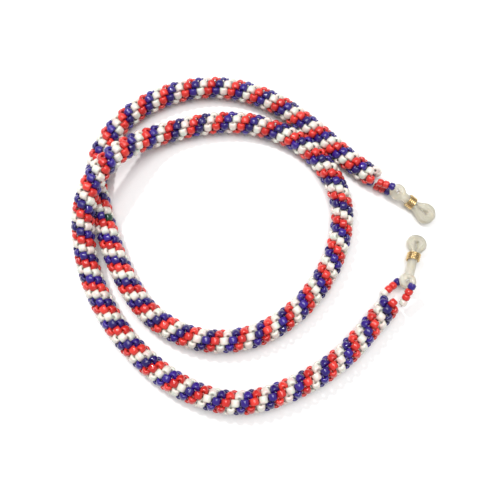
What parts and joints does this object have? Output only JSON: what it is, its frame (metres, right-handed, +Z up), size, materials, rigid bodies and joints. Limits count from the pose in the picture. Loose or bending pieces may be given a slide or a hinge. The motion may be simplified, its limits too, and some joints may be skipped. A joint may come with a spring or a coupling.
{
  "type": "eyeglass retainer strap",
  "caption": "Beaded rope strap that hangs eyeglasses round the neck, with an adjustable rubber loop and gold coil at each end.",
  "frame": {"origin": "middle of the strap's box, on the surface that it lies on", "axes": "+Z up; +X towards the two rubber ends; +Y across, towards the first end's side"},
  "size_m": [0.1416, 0.134, 0.0194],
  "materials": {
    "rope_beads": "glossy opaque glass seed beads, red, blue and pearl white in a spiral",
    "red_bead": "glossy opaque red glass",
    "blue_bead": "glossy deep blue glass",
    "white_bead": "pearl lustre white glass",
    "thread": "twisted white nylon beading thread",
    "clear_rubber": "translucent moulded silicone rubber, satin",
    "gold_coil": "polished gold-plated spring wire"
  },
  "bodies": {
    "rope": {"seed_bead_rope": "rope_beads"},
    "bead_chain_1": {"thread_loop_1": "thread", "chain_1_lower_1_red_bead": "red_bead", "chain_1_lower_2_red_bead": "red_bead", "chain_1_lower_3_blue_bead": "blue_bead", "chain_1_upper_1_red_bead": "red_bead", "chain_1_upper_2_red_bead": "red_bead", "chain_1_upper_3_blue_bead": "blue_bead"},
    "rubber_end_1": {"rubber_end_1": "clear_rubber"},
    "gold_coil_1": {"gold_coil_1": "gold_coil"},
    "bead_chain_2": {"thread_loop_2": "thread", "chain_2_lower_1_white_bead": "white_bead", "chain_2_lower_2_red_bead": "red_bead", "chain_2_lower_3_red_bead": "red_bead", "chain_2_lower_4_blue_bead": "blue_bead", "chain_2_upper_1_white_bead": "white_bead", "chain_2_upper_2_red_bead": "red_bead", "chain_2_upper_3_red_bead": "red_bead", "chain_2_upper_4_blue_bead": "blue_bead"},
    "rubber_end_2": {"rubber_end_2": "clear_rubber"},
    "gold_coil_2": {"gold_coil_2": "gold_coil"}
  },
  "joints": [
    {"name": "chain_swing_1", "type": "hinge", "parent": "rope", "child": "bead_chain_1", "pos_m": [0.048, 0.023, 0.0044], "axis": [0, 0, 1], "range_deg": [-5, 25]},
    {"name": "rubber_swivel_1", "type": "hinge", "parent": "bead_chain_1", "child": "rubber_end_1", "pos_m": [0.0562, 0.0174, 0.0046], "axis": [0.1294, -0.0966, 0.9869], "range_deg": [-12, 30]},
    {"name": "coil_slide_1", "type": "slide", "parent": "rubber_end_1", "child": "gold_coil_1", "axis": [-0.7908, 0.5903, 0.1615], "range_m": [0, 0.0012]},
    {"name": "chain_swing_2", "type": "hinge", "parent": "rope", "child": "bead_chain_2", "pos_m": [0.0513, -0.026, 0.0044], "axis": [0.7387, -0.6741, 0], "range_deg": [0, 35]},
    {"name": "rubber_swivel_2", "type": "hinge", "parent": "bead_chain_2", "child": "rubber_end_2", "pos_m": [0.0578, -0.018, 0.0046], "axis": [0.0484, 0.1391, 0.9891], "range_deg": [-30, 30]},
    {"name": "coil_slide_2", "type": "slide", "parent": "rubber_end_2", "child": "gold_coil_2", "axis": [-0.3249, -0.9342, 0.1472], "range_m": [0, 0.0049]}
  ]
}
